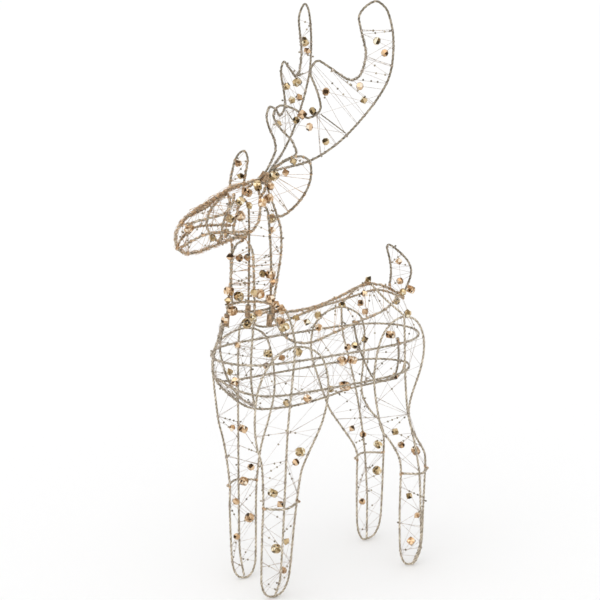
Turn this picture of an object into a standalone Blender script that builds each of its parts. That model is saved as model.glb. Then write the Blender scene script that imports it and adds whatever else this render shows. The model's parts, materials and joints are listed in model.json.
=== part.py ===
"""A standing reindeer of bent wire, laced with beaded light strings, for a yard or a porch.

The deer faces -X, its left side is -Y and its feet stand on Z = 0. Lengths are in millimetres
and become metres when a piece is made.
"""

import math

import bmesh
import bpy
import numpy as np
from mathutils import Matrix, Vector

MM = 0.001

# Driving dimensions
WIRE_RADIUS = 1.5
STRING_RADIUS = 0.4
BEAD_RADIUS = 5.4
BEAD_LENGTH = 9.0
SEED_RADIUS = 1.5
SEED_LENGTH = 3.4
SEED_SPACING = 16.0
ROW_HEIGHT = 10.5
GAP = 0.3
NECK_RING_Z = 381.0
NECK_CENTRE_X = -73.0
NECK_HALF_LENGTH = 33.0
NECK_HALF_WIDTH = 29.4
NECK_SLOPE = 0.1
SLEEVE_RADIUS = 3.1
SLEEVE_BORE = 1.85
SLEEVE_TOP_Z = 376.0
SLEEVE_END_Z = 360.0
PRONG_END_Z = 363.0
ANTLER_PLAN = (-35.0, -14.0)
ANTLER_HEADING = (0.81, -0.586)
STEM_FOOT = (-54.0, -5.2, 535.0)
STEM_AXIS = (0.62, 0.0, 0.785)
STEM_SPREAD = 2.3
SOCKET_LENGTH = 14.0
SOCKET_RADIUS = 3.1
FRONT_KNEE_Z = {"left": 130.0, "right": 130.0}
HIND_KNEE_Z = {"left": 138.0, "right": 124.0}
ANTLER_STRETCH = {"left": 1.0, "right": 0.953}
CURVE_TOLERANCE = 0.45
TOUCH = 2 * WIRE_RADIUS + GAP
INSET = WIRE_RADIUS + STRING_RADIUS + 5 * GAP
TIE_RADIUS = 0.8
KNEE_CORNER = 1.25
NECK_RING_CORNERS = 24
PRONG_STRAIGHT_Z = 375.0
FLOOR_BLOCK = (600.0, 400.0, 20.0)
FLOOR_BLOCK_X = 40.0

# How a string swells into a bead or a seed, as (share of its length from its middle, radius)
BEAD_RINGS = [(-0.5, STRING_RADIUS), (-0.3, BEAD_RADIUS), (0.3, BEAD_RADIUS), (0.5, STRING_RADIUS)]
SEED_RINGS = [(-0.5, STRING_RADIUS), (0, SEED_RADIUS), (0.5, STRING_RADIUS)]

# A point's axes, and how far the body's strings run along them
LENGTH, HEIGHT = 0, 2
FLANK_RUN = (-52.0, 108.0)
CHEST_RUN = (284.0, 371.0)
BELLY_RUN = (-44.0, 84.0)
BACK_RUN = {"left": (-24.0, 151.0), "right": (-42.0, 108.0)}

# The front legs' lower shafts, as (x, z) up the front edge and down the back edge
FRONT_SHAFT = {
    "left": ([(-62, 1.1), (-74, 7), (-80.5, 22), (-82, 50), (-82.5, 95)],
             [(-33, 125), (-36, 80), (-38.5, 40), (-41.5, 20), (-49, 6)]),
    "right": ([(-64, 1.1), (-75, 7), (-81, 22), (-82, 50), (-82, 95)],
              [(-40, 125), (-43, 80), (-45, 40), (-47, 20), (-53, 6)]),
}
# The front thighs were bent by hand, so the left one is fuller than the right one
FRONT_THIGH = {
    "left": [(-82, 131), (-87, 189), (-95, 215), (-100, 250), (-98, 287), (-87, 316), (-70, 332),
             (-48, 339), (-24, 334), (-6, 319), (4, 290), (5, 258), (-2, 228), (-16, 198),
             (-27, 172)],
    "right": [(-80, 131), (-85, 189), (-91, 217), (-93, 250), (-95, 290), (-90, 315), (-75, 328),
              (-52, 335), (-30, 332), (-14, 320), (-7, 298), (-4, 266), (-7, 238), (-18, 206),
              (-31, 172)],
}
HIND_SHAFT = {
    "left": ([(150, 1.1), (138, 7.5), (131.5, 26), (129, 60), (128, 100)],
             [(167, 118), (167, 80), (167, 46), (165, 22), (159, 6.5)]),
    "right": ([(148, 1.1), (137.5, 7), (131.5, 25), (130, 60), (130, 98)],
              [(174.5, 118), (173, 80), (171.5, 42), (168, 20), (159.5, 6.5)]),
}
HIND_THIGH = {
    "left": [(128, 140), (123, 160), (108, 184), (91, 205), (83, 228), (77, 254), (73, 282),
             (77, 316), (86, 338), (101, 352), (118, 356), (136, 349), (147, 331), (150, 308),
             (146, 283), (138, 260), (132, 238), (132, 218), (141, 196), (155, 175), (164.5, 159),
             (167.5, 142)],
    "right": [(130, 132), (121, 152), (104, 176), (90, 196), (81, 213), (71, 242), (60, 272),
              (56, 298), (61, 323), (73, 336), (88, 342.5), (104, 344), (121, 338), (136, 326),
              (142, 305), (141, 276), (139, 252), (137, 234), (140, 212), (152, 191), (167.5, 173),
              (174.7, 152)],
}
# How far out from the middle plane each leg loop stands, as (height, distance)
FRONT_STANCE = {side: [(0, 36), (130, 45), (220, 53), (285, 60), (312, 63), (345, 63)]
                for side in ("left", "right")}
HIND_STANCE = {
    "left": [(0, 43), (140, 47), (220, 58), (285, 62.5), (312, 63.6), (360, 63.6)],
    "right": [(0, 60), (135, 61), (220, 62), (285, 62.5), (312, 63.6), (360, 63.6)],
}

# The third wire of each leg, on its outer side and on over the back, as (x, out, z)
FRONT_OUTER = {
    "left": [(-63, 39.4, 2.6), (-62, 51, 28), (-61.5, 55, 60), (-59, 58.5, 130), (-57, 62, 220),
             (-53, 66.5, 285), (-50, 67, 322), (-48, 66.9, 339), (-46.5, 64.6, 343.6),
             (-44, 58, 347.5), (-38, 45, 354.5), (-31, 27, 363), (-24, 2.7, 371)],
    "right": [(-63, 39.4, 2.6), (-62, 51, 28), (-61.5, 55, 60), (-59, 58.5, 130), (-57, 62, 220),
              (-54, 66.5, 285), (-52, 67, 320), (-51, 66.9, 335), (-49, 64.6, 339.6),
              (-45, 58, 345), (-38, 45, 354), (-31, 27, 363), (-24, 2.7, 371)],
}
HIND_OUTER = {
    "left": [(150, 46.4, 2.6), (156, 54, 30), (155.5, 57, 60), (152, 58.5, 100), (149, 59.5, 138),
             (138, 63, 182), (124, 67, 225), (119, 67, 265), (117, 67.6, 306), (116, 67.5, 335),
             (115, 67.4, 355.5), (114, 65, 360.3), (112, 57, 364.5), (109, 42, 371),
             (106, 22, 381.5), (104, 2.7, 391.6)],
    "right": [(149.5, 63.4, 2.6), (154, 70, 30), (156, 73, 60), (154, 74, 100), (152, 74, 126),
              (146, 71.5, 160), (138, 69, 195), (129, 67.5, 235), (118, 67, 275), (110, 67.6, 305),
              (108, 67.5, 328), (107, 67.4, 343.5), (106.5, 65, 348.2), (106, 57, 354),
              (105.5, 46, 363.5), (105, 36, 371.5), (104.5, 20, 381), (104, 2.7, 391.6)],
}

# One side of each ring of the body, as (x, out, z)
UPPER_RING = [(-122, 0, 319), (-112, 30, 319), (-86, 51, 319), (-45, 58, 319), (20, 60, 319),
              (90, 59, 319), (140, 50, 319), (167, 28, 319), (176, 0, 319)]
LOWER_RING = [(-118.4, 0, 293), (-108, 22, 284), (-84, 38, 276), (-45, 46, 273), (20, 48, 273),
              (90, 47, 273), (135, 38, 273), (158, 20, 273), (167, 0, 273)]
SADDLE = [(-57.6, 30.4, 372), (-55, 38, 362), (-50, 44, 350), (-34, 46, 340), (-14, 48, 337),
          (11, 47, 342), (35, 47, 348), (66, 45, 355), (94, 42, 360), (116, 36, 366),
          (134, 26, 371.5), (148, 13, 369), (158, 3.8, 363)]
SPINE = [(-37.4, 369.5), (-22, 367), (9, 367), (33, 370), (61, 377), (84, 385), (106, 388),
         (126, 383.5), (147, 373), (161, 363.5)]
KEEL = [(-112.2, 373), (-114.3, 361), (-119, 346), (-124, 331), (-126.8, 317), (-126.8, 304),
        (-122.8, 293), (-114, 281),
        (-100, 267), (-88, 257), (-72, 248), (-45, 242.5), (0, 241), (43, 245), (76, 250),
        (116, 252), (145, 252.5), (158, 258), (165, 268)]
FRONT_HOOP = [(-85, 30, 372), (-91, 36.5, 350), (-95, 39.5, 322), (-92.5, 35, 296), (-86.5, 28, 274),
              (-79, 18, 259), (-72, 0, 252)]
REAR_HOOP = [(116, 52, 326), (120, 49, 300), (124, 37, 273), (123, 21, 260), (118, 0, 256)]
TAIL = [(138.5, 381.5), (140.5, 402), (137.5, 420), (133.5, 433), (135.5, 437), (142, 434.5),
        (157, 422.5), (168.5, 410), (173, 398), (170.5, 386), (161.4, 367.8)]

# The neck's wires below the head, as (x, out, z), down to where the ring holds them
NECK_FRONT = [(-98, 464), (-98.5, 440), (-101, 415), (-104, 396), (-105.6, 381)]
NECK_BACK = [(-47, 528), (-38, 503), (-29, 478), (-27.5, 450), (-31, 424), (-36.5, 397),
             (-39.8, 381)]
NECK_CHEEK = [(-79, 6, 465), (-81, 20, 457), (-83.5, 27.5, 441), (-84, 29, 415), (-83, 28.6, 377.5)]
NECK_REAR = [(-67.6, 24.2, 513), (-61.5, 24, 505), (-59, 26, 470), (-58.5, 27.4, 430),
             (-59.2, 27.2, 398), (-59.8, 27, 381)]

# The head: the line down its middle, then one side's rails and hoops as (x, out, z)
FACE = [(-47, 547), (-58, 541.5), (-72, 537.5), (-87, 535), (-103, 530.5), (-121, 522),
        (-142, 512.5), (-155, 506), (-166, 498.5), (-173, 488.5), (-175.8, 477), (-174, 468),
        (-168, 461), (-157, 458), (-145, 458.5), (-130, 461.5), (-116, 465), (-104, 468),
        (-90, 470), (-77, 470)]
CHEEK_RAIL = [(-164.5, 4.2, 493.5), (-156, 12, 498.5), (-138, 19, 503), (-121, 23.4, 507),
              (-111, 22, 515), (-104, 16, 521.5), (-99, 8, 526.5)]
JAW_RAIL = [(-171, 4.4, 467.5), (-165, 9, 472.5), (-152, 15.5, 480), (-142, 19.5, 484),
            (-126, 23.4, 485), (-110, 25, 483.5), (-94, 26.5, 482), (-86.2, 23.4, 481.5)]
MUZZLE_HOOP = [(-104, 0, 525.6), (-107, 12, 519), (-115, 19, 507), (-121, 20, 495),
               (-122.5, 18.5, 484), (-120, 10, 472.5), (-117, 0, 469.2)]
THROAT_HOOP = [(-64, 0, 535.4), (-68.5, 17, 526), (-72, 25, 510), (-77, 26.5, 491),
               (-86, 17.5, 477.5), (-92, 0, 474)]
EAR = {
    "left": [(-69.7, 23.3, 524), (-70, 29, 529), (-68, 41, 550), (-63, 53, 565), (-55, 65, 574.5),
             (-45, 75, 577), (-36, 78.5, 572), (-30.5, 75, 560), (-27, 67, 545), (-27, 57, 530),
             (-31, 44, 514), (-37, 34.5, 503.5), (-43, 29.5, 498), (-57, 25.6, 497.5)],
    "right": [(-82.2, 3.7, 535.3), (-84, 17, 532), (-84, 28, 531), (-76, 37, 547), (-66, 47, 559),
              (-53, 57, 566), (-44, 61, 566), (-43, 56, 557), (-51, 46, 545), (-60, 36, 533),
              (-64, 30.5, 526), (-68.1, 23.5, 522.3)],
}

# An antler's outline in its own upright plane, as (distance along the plane, z), front root to back
ANTLER = [(17, 571), (16, 581), (10, 591), (-1, 602), (-10, 619), (-2, 630.5), (17, 626),
          (32, 616), (47, 626), (44, 647), (35, 672), (44, 685), (63, 674), (83, 662.5),
          (95, 668), (102, 693), (98, 713), (94, 740), (113, 756), (128, 743), (135, 700),
          (126, 656), (80, 596), (38, 565)]
# The two ends of the thin tie across it, in the same plane
ANTLER_TIE = [(49, 620.5), (79.6, 597.7)]
TIE_OFFSET = 2.6

# The stops of each light string: a plain stop is a turn, and one marked BEAD carries a big bead
BEAD = "bead"
ANTLER_STRING = {
    "left": [(24, 577), (54, 587.5, BEAD), (70, 596), (12, 594), (18, 613, BEAD), (34, 605, BEAD),
             (84, 609), (51, 632), (100, 638, BEAD), (111, 645), (54, 648, BEAD), (46.5, 656),
             (95, 655, BEAD), (117, 652), (101, 674), (127, 682), (106, 690), (124.5, 695, BEAD),
             (130, 706), (115, 709, BEAD), (102, 716), (127, 727), (99.5, 735), (120, 744)],
    "right": [(24, 577), (66, 590), (12, 594), (26, 606, BEAD), (84, 609), (51, 632),
              (70, 632, BEAD), (94, 633, BEAD), (109, 642), (53, 652, BEAD), (44.5, 664),
              (88, 654, BEAD), (117, 652), (101, 674), (127, 680), (106, 686), (121, 693, BEAD),
              (130, 701), (112, 706, BEAD), (102, 712), (128, 722), (99.5, 733), (121, 744)],
}
TAIL_STRING = [(143.5, 385), (155, 386, BEAD), (167.5, 394), (144.5, 402), (153, 413, BEAD),
               (140.5, 423)]
# Big beads on the leg loops' faces, as (x, z) from the foot up
LEG_BEADS = {
    "front_left_leg": [(-49, 36), (-61, 69), (-46, 76), (-57, 130), (-69, 148), (-37, 184),
                       (-31, 197)],
    "front_right_leg": [(-73, 60), (-53, 82), (-72, 108), (-59, 133), (-47, 150), (-56, 203),
                        (-72, 207)],
    "hind_left_leg": [(149, 35), (157.5, 71), (143, 102), (149, 166), (124, 179), (112, 200)],
    "hind_right_leg": [(139, 60), (164, 101), (165, 139), (140, 158), (121.5, 170)],
}
LEG_STRING_LOW = 24.0
LEG_STRING_HIGH = {"front_left_leg": 214.0, "front_right_leg": 222.0, "hind_left_leg": 214.0,
                   "hind_right_leg": 196.0}
# Big beads on the body, as (x, out, z): down the chest, then from front to back
CHEST_BEADS = [(-88, 17, 365), (-103, 20, 340), (-112, 16, 306), (-106, 19, 293)]
FLANK_BEADS = {
    "left": [(-35, 51, 329), (32, 50, 307), (47, 50, 306), (52, 49, 324), (66, 50, 330),
             (106, 50, 331)],
    "right": [(-23, 46, 285), (-20, 48, 301), (3, 50, 291), (28, 50, 295), (104, 47, 292)],
}
BELLY_BEADS = [(-26, 9, 250), (6, 9, 250), (31, 24, 263), (52, 22, 264), (66, 8, 257)]
BACK_BEADS = {
    "left": [(-12, 10, 360), (-2, 20, 356), (8, 32, 350), (20, 11, 360), (57, 11, 369),
             (80, 19, 370), (79, 31, 361), (93, 8, 378), (146, 6, 361)],
    "right": [(-33, 17, 356), (-18, 19, 350)],
}
# The neck's string: how it winds from wire to wire, then its last stops over the nape
NECK_STRING_LOW = 397.0
NECK_STRING_RISE = 4.0
NECK_STRING_TURNS = 16
NAPE_STOPS = [(2, 470), (3, 486), (2, 499)]
NECK_BEADS = {0: [0.34], 1: [0.4], 7: [0.6], 12: [0.29, 0.7], 16: [0.5], 17: [0.42]}
# The head's string, as (x, y, z): a turn is short of the rail beside it
HEAD_STRING = [
    (-150, -10.5, 498), (-157, 0, 488, BEAD), (-146, 14.5, 483), (-132, -12.5, 477, BEAD),
    (-127, -19.8, 486), (-126, 19.5, 503), (-113.5, -14, 482, BEAD), (-104, -22.4, 485),
    (-110, -15, 499, BEAD), (-104, 22.4, 485), (-96, -17, 518.5, BEAD), (-73, 21.5, 508),
    (-96, -18, 501, BEAD), (-94, -23.6, 484.5), (-78, 22.8, 491), (-83, -17, 512.5, BEAD),
    (-70.5, -18.5, 516), (-80, -7, 527, BEAD), (-69, 14.8, 523), (-56, -17, 519, BEAD),
    (-53, -18, 534, BEAD), (-66, -29, 533),
]

FRAME_COLOUR = (0.46, 0.39, 0.31)
STRING_COLOUR = (0.72, 0.56, 0.36)
SLEEVE_COLOUR = (0.36, 0.31, 0.26)

SIDES = {"left": -1, "right": 1}


def clear_scene():
    for old in list(bpy.data.objects):
        bpy.data.objects.remove(old)


def make_material(name, colour, roughness, metallic):
    material = bpy.data.materials.new(name)
    material.use_nodes = True
    shader = material.node_tree.nodes["Principled BSDF"]
    shader.inputs["Base Color"].default_value = (*colour, 1)
    shader.inputs["Roughness"].default_value = roughness
    shader.inputs["Metallic"].default_value = metallic
    return material


def make_collection(name):
    collection = bpy.data.collections.new(name)
    bpy.context.scene.collection.children.link(collection)
    return collection


clear_scene()
PARTS = make_collection("wire_reindeer")
CUTTERS = make_collection("cutters")
FRAME_EMPTY = {}


def body_empty(name, place):
    """An empty on which one body's pieces hang, at the joint that carries it."""
    empty = bpy.data.objects.new(name, None)
    empty.location = Vector(place) * MM
    PARTS.objects.link(empty)
    FRAME_EMPTY[name] = empty


def hang(obj, body):
    obj.parent = FRAME_EMPTY[body]
    obj.matrix_parent_inverse = Matrix.Translation(-FRAME_EMPTY[body].location)


def mirrored(points, side):
    """(x, out, z) points set on one side of the deer."""
    return [Vector((x, SIDES[side] * out, z)) for x, out, z in points]


def middle(points):
    """(x, z) points on the deer's middle plane."""
    return [Vector((x, 0, z)) for x, z in points]


def full_loop(half):
    """One side's points, from the middle plane to the middle plane, carried on round the other."""
    near = mirrored(half, "left")
    far = mirrored(half, "right")
    return near + far[-2:0:-1]


def smooth(points, closed=False):
    """A rounded line through the points, with as few corners as keep it true to the tolerance."""
    count = len(points)
    spans = count if closed else count - 1
    line = []
    for i in range(spans):
        if closed:
            a, b, c, d = (points[(i + k - 1) % count] for k in range(4))
        else:
            b, c = points[i], points[i + 1]
            a = points[i - 1] if i else b + (b - c)
            d = points[i + 2] if i + 2 < count else c + (c - b)
        pull_in = (c - a) * ((c - b).length / max((b - a).length + (c - b).length, 1e-6))
        pull_out = (d - b) * ((c - b).length / max((d - c).length + (c - b).length, 1e-6))
        for step in range(12):
            t = step / 12
            line.append(b * (2 * t**3 - 3 * t**2 + 1) + pull_in * (t**3 - 2 * t**2 + t)
                        + c * (3 * t**2 - 2 * t**3) + pull_out * (t**3 - t**2))
    line.append(points[0].copy() if closed else points[-1].copy())
    kept = thin_out(line)
    return kept[:-1] if closed else kept


def thin_out(line):
    """The line without the points that lie within the tolerance of a straight run."""
    kept = [line[0]]
    start = 0
    while start < len(line) - 1:
        end = start + 1
        while end + 1 < len(line) and straight(line, start, end + 1):
            end += 1
        kept.append(line[end])
        start = end
    return kept


def straight(line, first, last):
    along = line[last] - line[first]
    if along.length < 1e-6:
        return False
    along.normalize()
    for point in line[first + 1:last]:
        offset = point - line[first]
        if (offset - along * offset.dot(along)).length > CURVE_TOLERANCE:
            return False
    return True


def tube(name, body, points, material, closed=False, radius=WIRE_RADIUS, radii=None, sides=1):
    """A round wire along the points, as one curve object; radii swells it from point to point."""
    curve = bpy.data.curves.new(name, "CURVE")
    curve.dimensions = "3D"
    curve.bevel_depth = radius * MM
    curve.bevel_resolution = sides
    curve.use_fill_caps = True
    spline = curve.splines.new("POLY")
    spline.points.add(len(points) - 1)
    spline.use_cyclic_u = closed
    for i, point in enumerate(points):
        spline.points[i].co = (*(point * MM), 1)
        if radii:
            spline.points[i].radius = radii[i] / radius
    curve.materials.append(material)
    obj = bpy.data.objects.new(name, curve)
    PARTS.objects.link(obj)
    hang(obj, body)
    return obj


def bend_wire(name, body, points, closed=False):
    return tube(name, body, smooth(points, closed), FRAME, closed)


def as_mesh(obj):
    """The curve object's own shape as a mesh with its caps welded, in the curve's place."""
    bpy.context.view_layer.update()
    graph = bpy.context.evaluated_depsgraph_get()
    mesh = bpy.data.meshes.new_from_object(obj.evaluated_get(graph))
    built = bmesh.new()
    built.from_mesh(mesh)
    bmesh.ops.remove_doubles(built, verts=built.verts, dist=1e-6)
    built.to_mesh(mesh)
    built.free()
    name, parent, inverse = obj.name, obj.parent, obj.matrix_parent_inverse.copy()
    bpy.data.objects.remove(obj)
    mesh_obj = bpy.data.objects.new(name, mesh)
    PARTS.objects.link(mesh_obj)
    mesh_obj.parent = parent
    mesh_obj.matrix_parent_inverse = inverse
    return mesh_obj


def floor_cutter():
    """A block under the floor, which trims the wire under each foot to a flat."""
    bpy.ops.mesh.primitive_cube_add(size=1)
    cutter = bpy.context.object
    cutter.name = "floor_cutter"
    cutter.scale = Vector(FLOOR_BLOCK) * MM
    cutter.location = Vector((FLOOR_BLOCK_X, 0, -FLOOR_BLOCK[2] / 2)) * MM
    for owner in list(cutter.users_collection):
        owner.objects.unlink(cutter)
    CUTTERS.objects.link(cutter)
    cutter.hide_render = True
    cutter.display_type = "WIRE"
    return cutter


def stance_at(stance, z):
    """How far out a leg stands at this height, read between the listed heights."""
    for (low, near), (high, far) in zip(stance, stance[1:]):
        if z <= high:
            return near + (far - near) * max(z - low, 0) / (high - low)
    return stance[-1][1]


def leg_loop_points(shaft, thigh, stance, side):
    rise, fall = shaft
    outline = rise + thigh + fall
    return [Vector((x, SIDES[side] * stance_at(stance, z), z)) for x, z in outline]


def at_height(line, z, rising):
    """Where a wire's line passes this height, going up or coming down."""
    for a, b in zip(line, line[1:]):
        if (a.z <= z < b.z) if rising else (a.z >= z > b.z):
            return a.lerp(b, (z - a.z) / (b.z - a.z))
    return line[-1]


def knee_brace_points(front, outer, back):
    """A bent wire across a leg's two outer sides, just clear of its three wires."""
    middle_leg = (front + back) / 2
    out = (outer - middle_leg).normalized()
    run_in = (outer - front).normalized()
    run_out = (back - outer).normalized()
    up = Vector((0, 0, 1))
    clear = TOUCH + GAP
    push_in = run_in.cross(up)
    push_in *= math.copysign(clear, push_in.dot(out))
    push_out = run_out.cross(up)
    push_out *= math.copysign(clear, push_out.dot(out))
    corner = outer + out * (clear * KNEE_CORNER)
    return [front + push_in, corner, back + push_out]


def beaded(stops):
    """Points and radii of a string through its stops, with a bead or a seed wherever there is room."""
    line, radii = [stops[0][0]], [STRING_RADIUS]

    def swell(centre, way, length, rings):
        for share, radius in rings:
            line.append(centre + way * (share * length))
            radii.append(radius)

    for (before, _), (here, is_bead), (after, _) in zip(stops, stops[1:], stops[2:] + stops[-1:]):
        run = here - line[-1]
        if run.length > SEED_SPACING:
            swell(line[-1] + run / 2, run.normalized(), SEED_LENGTH, SEED_RINGS)
        if is_bead:
            swell(here, (after - before).normalized(), BEAD_LENGTH, BEAD_RINGS)
        else:
            line.append(here)
            radii.append(STRING_RADIUS)
    return line, radii


def least_gap(line, radii):
    """The least gap between two stretches of a string over a bead's length apart along it."""
    places, widths, runs = [], [], []
    run = 0.0
    for a, b, wide, next_wide in zip(line, line[1:], radii, radii[1:]):
        steps = max(int((b - a).length), 1)
        for step in range(steps):
            share = step / steps
            places.append(a.lerp(b, share))
            widths.append(wide + (next_wide - wide) * share)
            runs.append(run + (b - a).length * share)
        run += (b - a).length
    places, widths, runs = np.array(places), np.array(widths), np.array(runs)
    apart = np.linalg.norm(places[:, None] - places[None], axis=2)
    gaps = apart - widths[:, None] - widths[None]
    return gaps[abs(runs[:, None] - runs[None]) > 1.5 * BEAD_LENGTH].min()


def light_string(name, body, stops):
    line, radii = beaded(stops)
    print(f"{name}: least gap to itself {least_gap(line, radii):.2f} mm")
    tube(name, body, line, STRING, radius=STRING_RADIUS, radii=radii, sides=0)


def passing(line, axis, value):
    """Where a line first passes this value along an axis, or else the nearer of its ends."""
    for a, b in zip(line, line[1:]):
        if min(a[axis], b[axis]) <= value <= max(a[axis], b[axis]) and a[axis] != b[axis]:
            return a.lerp(b, (value - a[axis]) / (b[axis] - a[axis]))
    return min(line[0], line[-1], key=lambda end: abs(end[axis] - value))


def laced(first, second, beads, axis, low, high):
    """The stops of a string that crosses between two wires, through every bead, along an axis.

    Beads that lie side by side share a run, and the string turns midway between two runs.
    """
    rows = []
    for bead in sorted(beads, key=lambda place: place[axis]):
        if rows and bead[axis] - rows[-1][-1][axis] < ROW_HEIGHT:
            rows[-1].append(bead)
        else:
            rows.append([bead])
    levels = [low] + [(a[-1][axis] + b[0][axis]) / 2 for a, b in zip(rows, rows[1:])] + [high]
    stops = []
    for i, level in enumerate(levels):
        near, far = (first, second) if i % 2 == 0 else (second, first)
        here = passing(near, axis, level)
        inward = passing(far, axis, level) - here
        stops.append((here + inward.normalized() * INSET, False))
        if i < len(rows):
            across = passing(far, axis, levels[i + 1]) - here
            stops += [(bead, True) for bead in sorted(rows[i], key=across.dot)]
    return stops


def planned(stops, place):
    """A written list of stops set in space, each with whether it carries a bead."""
    return [(place(*stop[:-1]), True) if stop[-1] == BEAD else (place(*stop), False)
            for stop in stops]


def sleeve(name, body, centre_line, material):
    """A short tube with a through bore, on the straight line between two points."""
    bottom, top = centre_line
    axis = top - bottom
    turn = axis.to_track_quat("Z", "Y").to_matrix().to_4x4()
    place = Matrix.Translation((bottom + top) / 2 * MM) @ turn
    curve = bpy.data.curves.new(name, "CURVE")
    curve.dimensions = "2D"
    curve.fill_mode = "BOTH"
    curve.extrude = axis.length / 2 * MM
    for radius in (SLEEVE_RADIUS, SLEEVE_BORE):
        ring_outline(curve, [(0, 0)], radius)
    curve.materials.append(material)
    obj = bpy.data.objects.new(name, curve)
    obj.matrix_world = place
    PARTS.objects.link(obj)
    hang(obj, body)


def ring_outline(curve, centres, radius, facets=12):
    """A closed outline round one centre, or round two as a slot with round ends."""
    outline = []
    for i, (u, v) in enumerate(centres):
        share = 2 * math.pi / len(centres)
        first = -share / 2 + i * share if len(centres) > 1 else 0
        steps = facets // len(centres)
        for step in range(steps + (len(centres) > 1)):
            angle = first + share * step / steps
            outline.append((u + radius * math.cos(angle), v + radius * math.sin(angle)))
    spline = curve.splines.new("POLY")
    spline.points.add(len(outline) - 1)
    spline.use_cyclic_u = True
    for point, (u, v) in zip(spline.points, outline):
        point.co = (u * MM, v * MM, 0, 1)


FRAME = make_material("glitter_wrapped_wire", FRAME_COLOUR, 0.55, 0.5)
STRING = make_material("gold_beaded_string", STRING_COLOUR, 0.3, 0.9)
SLEEVE = make_material("painted_sleeve", SLEEVE_COLOUR, 0.5, 0.6)

body_empty("torso", (0, 0, 0))
body_empty("head_and_neck", (NECK_CENTRE_X, 0, NECK_RING_Z))
for side_name, sign in SIDES.items():
    body_empty(f"{side_name}_antler_joint", (STEM_FOOT[0], -sign * STEM_FOOT[1], STEM_FOOT[2]))

# The body's cage: two level rings, two belly hoops, saddle rails, spine and keel
upper_ring = full_loop(UPPER_RING)
lower_ring = full_loop(LOWER_RING)
bend_wire("upper_ring", "torso", upper_ring, closed=True)
bend_wire("lower_ring", "torso", lower_ring, closed=True)
for hoop_name, half_hoop in (("front_belly_hoop", FRONT_HOOP), ("rear_belly_hoop", REAR_HOOP)):
    bend_wire(hoop_name, "torso",
              mirrored(half_hoop, "left") + mirrored(half_hoop, "right")[-2::-1])
for side_name in SIDES:
    bend_wire(f"{side_name}_saddle_rail", "torso", mirrored(SADDLE, side_name))
bend_wire("spine_rail", "torso", middle(SPINE))
bend_wire("keel_rail", "torso", middle(KEEL))
bend_wire("tail_loop", "torso", middle(TAIL))


def neck_axis_point(x_at_ring, out, z):
    """A point on a prong's straight line under the neck ring."""
    return Vector((x_at_ring - NECK_SLOPE * (NECK_RING_Z - z), out, z))


# Sleeves on the body's shoulders, which take the prongs under the neck
FRONT_PRONG_X = -105.6
BACK_PRONG_X = -39.8
SIDE_PRONG = (-59.8, 27.0)
for sleeve_name, x, out in (("front", FRONT_PRONG_X, 0), ("back", BACK_PRONG_X, 0),
                            ("left", SIDE_PRONG[0], -SIDE_PRONG[1]),
                            ("right", SIDE_PRONG[0], SIDE_PRONG[1])):
    sleeve(f"{sleeve_name}_neck_sleeve", "torso",
           (neck_axis_point(x, out, SLEEVE_END_Z), neck_axis_point(x, out, SLEEVE_TOP_Z)), SLEEVE)

# Four legs, each a loop over its thigh, an outer wire and a knee brace
cutter = floor_cutter()
leg_sets = (("front", FRONT_SHAFT, FRONT_THIGH, FRONT_STANCE, FRONT_OUTER, FRONT_KNEE_Z),
            ("hind", HIND_SHAFT, HIND_THIGH, HIND_STANCE, HIND_OUTER, HIND_KNEE_Z))
leg_lines = {}
for end, shafts, thighs, stances, outers, knees in leg_sets:
    for side_name in SIDES:
        leg = f"{end}_{side_name}_leg"
        knee_z = knees[side_name]
        outline = leg_loop_points(shafts[side_name], thighs[side_name], stances[side_name], side_name)
        line = smooth(outline, closed=True)
        loop = as_mesh(tube(f"{leg}_loop", "torso", line, FRAME, closed=True))
        trim = loop.modifiers.new("flat_foot", "BOOLEAN")
        trim.object = cutter
        outer_line = smooth(mirrored(outers[side_name], side_name))
        tube(f"{leg}_outer_wire", "torso", outer_line, FRAME)
        top = max(range(len(line)), key=lambda i: line[i].z)
        front_edge, back_edge = line[:top + 1], line[top:] + line[:1]
        knee = [at_height(front_edge, knee_z, True), at_height(outer_line, knee_z, True),
                at_height(back_edge, knee_z, False)]
        tube(f"{leg}_knee_brace", "torso", knee_brace_points(*knee), FRAME)
        leg_lines[leg] = (front_edge, back_edge, stances[side_name], SIDES[side_name])

# The neck: a ring that gathers six wires, four of which end in prongs
ring_points = []
for step in range(NECK_RING_CORNERS):
    angle = 2 * math.pi * step / NECK_RING_CORNERS
    ring_points.append(Vector((
        NECK_CENTRE_X + (NECK_HALF_LENGTH - TOUCH - 2 * GAP) * math.cos(angle),
        (NECK_HALF_WIDTH - TOUCH - 2 * GAP) * math.sin(angle), NECK_RING_Z)))
tube("neck_ring", "head_and_neck", ring_points, FRAME, closed=True)
PRONG_HEIGHTS_Z = (PRONG_STRAIGHT_Z, PRONG_END_Z)
front_wire = middle(NECK_FRONT) + [neck_axis_point(FRONT_PRONG_X, 0, z) for z in PRONG_HEIGHTS_Z]
back_wire = middle(NECK_BACK) + [neck_axis_point(BACK_PRONG_X, 0, z) for z in PRONG_HEIGHTS_Z]
bend_wire("front_neck_wire", "head_and_neck", front_wire)
bend_wire("back_neck_wire", "head_and_neck", back_wire)
neck_lines = [smooth(front_wire)]
for side_name, sign in SIDES.items():
    rear_wire = mirrored(NECK_REAR, side_name)
    rear_wire += [neck_axis_point(SIDE_PRONG[0], sign * SIDE_PRONG[1], z)
                  for z in PRONG_HEIGHTS_Z]
    bend_wire(f"{side_name}_rear_neck_wire", "head_and_neck", rear_wire)
    bend_wire(f"{side_name}_front_neck_wire", "head_and_neck", mirrored(NECK_CHEEK, side_name))
    neck_lines.append((smooth(mirrored(NECK_CHEEK, side_name)), smooth(rear_wire)))
neck_order = [neck_lines[0], neck_lines[1][0], neck_lines[1][1], smooth(back_wire),
              neck_lines[2][1], neck_lines[2][0]]

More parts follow.
